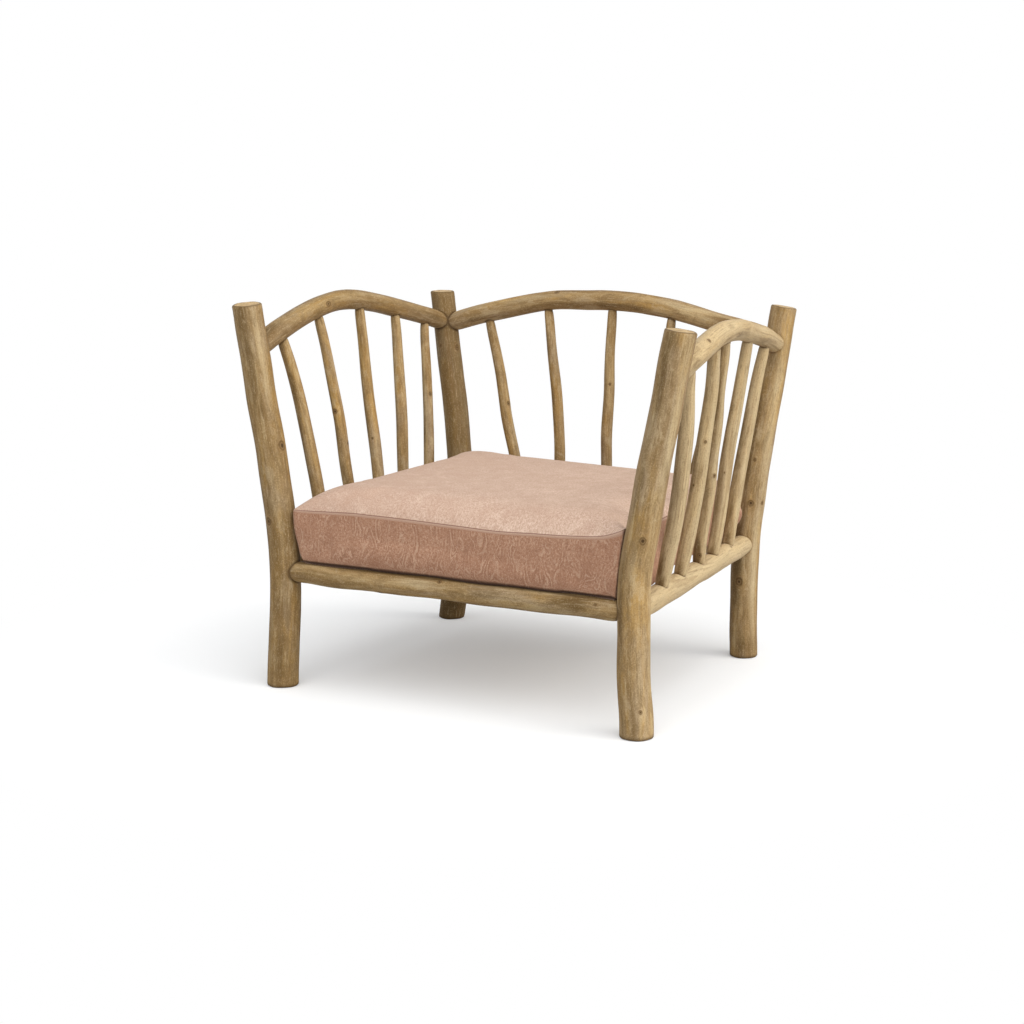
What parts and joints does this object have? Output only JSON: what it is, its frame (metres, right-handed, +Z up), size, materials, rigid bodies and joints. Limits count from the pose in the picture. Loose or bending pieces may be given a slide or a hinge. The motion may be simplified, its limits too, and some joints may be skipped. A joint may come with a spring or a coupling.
{
  "type": "branch-wood armchair",
  "caption": "Rustic armchair of peeled branch wood: bent posts, arched arms and back, round spindles tenoned between rails, and a loose boxed seat cushion that lifts out.",
  "frame": {"origin": "on the floor, under the middle of the chair's box", "axes": "+X to the right as seen from the front, +Y to the back, +Z up"},
  "size_m": [1.0857, 0.8351, 0.8501],
  "materials": {
    "post_wood": "peeled branch, satin",
    "rail_wood": "peeled branch, satin",
    "spindle_wood": "peeled branch, satin",
    "deck_wood": "sawn, unfinished",
    "cover_fabric": "soft short pile",
    "foam": "open-cell foam",
    "zip_tape": "woven tape with a nylon coil"
  },
  "bodies": {
    "frame": {"front_left_post": "post_wood", "front_right_post": "post_wood", "back_left_post": "post_wood", "back_right_post": "post_wood", "front_seat_rail": "rail_wood", "back_seat_rail": "rail_wood", "left_seat_rail": "rail_wood", "right_seat_rail": "rail_wood", "back_top_rail": "rail_wood", "left_arm_rail": "rail_wood", "right_arm_rail": "rail_wood", "left_spindle_1": "spindle_wood", "left_spindle_2": "spindle_wood", "left_spindle_3": "spindle_wood", "left_spindle_4": "spindle_wood", "left_spindle_5": "spindle_wood", "back_spindle_1": "spindle_wood", "back_spindle_2": "spindle_wood", "back_spindle_3": "spindle_wood", "back_spindle_4": "spindle_wood", "back_spindle_5": "spindle_wood", "right_spindle_1": "spindle_wood", "right_spindle_2": "spindle_wood", "right_spindle_3": "spindle_wood", "right_spindle_4": "spindle_wood", "right_spindle_5": "spindle_wood", "front_cleat": "deck_wood", "back_cleat": "deck_wood", "seat_slat_1": "deck_wood", "seat_slat_2": "deck_wood", "seat_slat_3": "deck_wood", "seat_slat_4": "deck_wood", "seat_slat_5": "deck_wood", "seat_slat_6": "deck_wood", "seat_slat_7": "deck_wood"},
    "cushion": {"cushion_cover": "cover_fabric", "cushion_foam": "foam", "cushion_zip": "zip_tape"}
  },
  "joints": [
    {"name": "cushion_lift", "type": "slide", "parent": "frame", "child": "cushion", "axis": [0, 0, 1], "range_m": [0, 0.45]}
  ]
}
